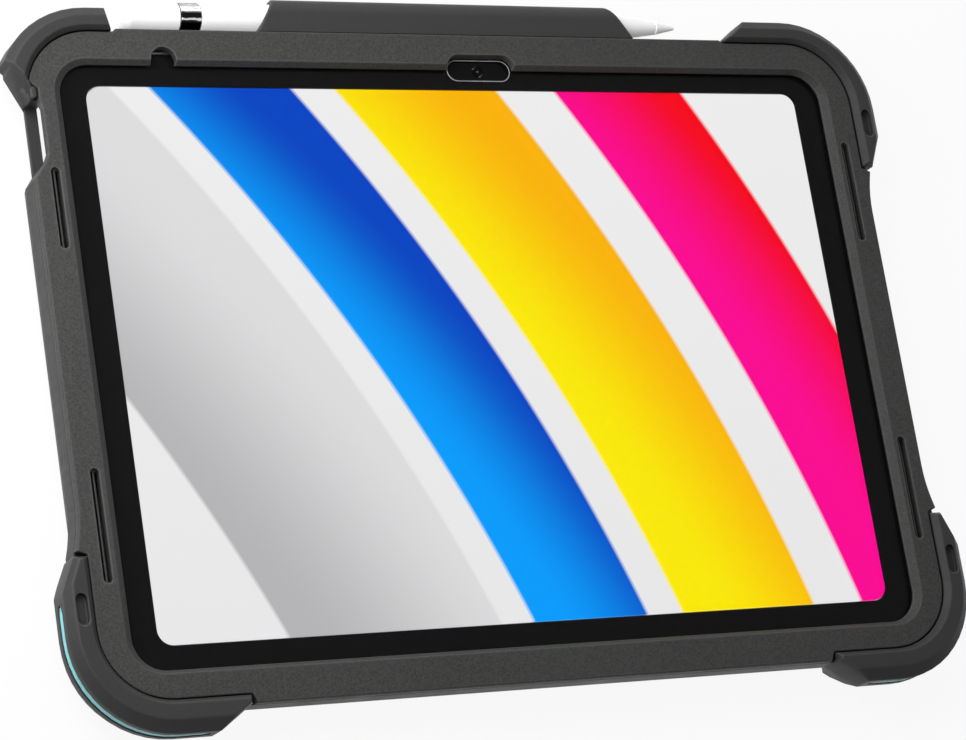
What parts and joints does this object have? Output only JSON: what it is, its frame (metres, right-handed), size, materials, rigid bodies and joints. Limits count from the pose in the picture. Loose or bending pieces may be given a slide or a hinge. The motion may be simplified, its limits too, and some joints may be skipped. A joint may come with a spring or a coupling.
{
  "type": "rugged tablet case",
  "caption": "Rugged tablet case holding a tablet: hard front frame and rear shell in a rubber sleeve with thick corner bumpers, a stylus loop with its stylus, and a folding stand leg.",
  "frame": {"origin": "centre of the bounding box at the plane the case lies on, under the back of its corner bumpers", "axes": "+X along the long side to the right of the screen, +Y up the screen towards the stylus loop, +Z out of the screen"},
  "size_m": [0.2792, 0.2104, 0.019],
  "materials": {
    "hard_plastic": "fine grained matt dark grey",
    "sleeve_rubber": "satin soft rubber",
    "shell_plastic": "matt",
    "leg_plastic": "matt",
    "accent_teal": "satin",
    "clear_film": "clear",
    "black_glass": "polished black border",
    "display": "lit display under glass",
    "aluminium": "fine blasted",
    "lens_glass": "polished lens",
    "steel": "polished",
    "stylus_white": "gloss white"
  },
  "bodies": {
    "case": {"front_frame": "hard_plastic", "bumper_sleeve": "sleeve_rubber", "rear_shell": "shell_plastic", "screen_film": "clear_film", "accent_strip_left": "accent_teal", "accent_strip_right": "accent_teal", "hinge_pin_left": "steel", "hinge_pin_right": "steel", "tablet_housing": "aluminium", "tablet_border_glass": "black_glass", "tablet_display": "display", "front_camera_lens": "lens_glass", "rear_camera_ring": "aluminium", "rear_camera_lens": "lens_glass", "stylus_cap": "stylus_white", "stylus_ring": "steel", "stylus_barrel": "stylus_white", "stylus_tip": "stylus_white"},
    "stand": {"stand_leg": "leg_plastic"},
    "top_button": {"top_button": "aluminium"},
    "volume_up_button": {"volume_up_button": "aluminium"},
    "volume_down_button": {"volume_down_button": "aluminium"}
  },
  "joints": [
    {"name": "stand_hinge", "type": "hinge", "parent": "case", "child": "stand", "pos_m": [0, 0.0032, 0.0026], "axis": [1, 0, 0], "range_deg": [0, 60]},
    {"name": "top_button_press", "type": "slide", "parent": "case", "child": "top_button", "axis": [1, 0, 0], "range_m": [0, 0.0003], "stiffness_N_per_m": 400, "springref_m": -0.0005},
    {"name": "volume_up_press", "type": "slide", "parent": "case", "child": "volume_up_button", "axis": [0, -1, 0], "range_m": [0, 0.0003], "stiffness_N_per_m": 400, "springref_m": -0.0005},
    {"name": "volume_down_press", "type": "slide", "parent": "case", "child": "volume_down_button", "axis": [0, -1, 0], "range_m": [0, 0.0003], "stiffness_N_per_m": 400, "springref_m": -0.0005}
  ]
}
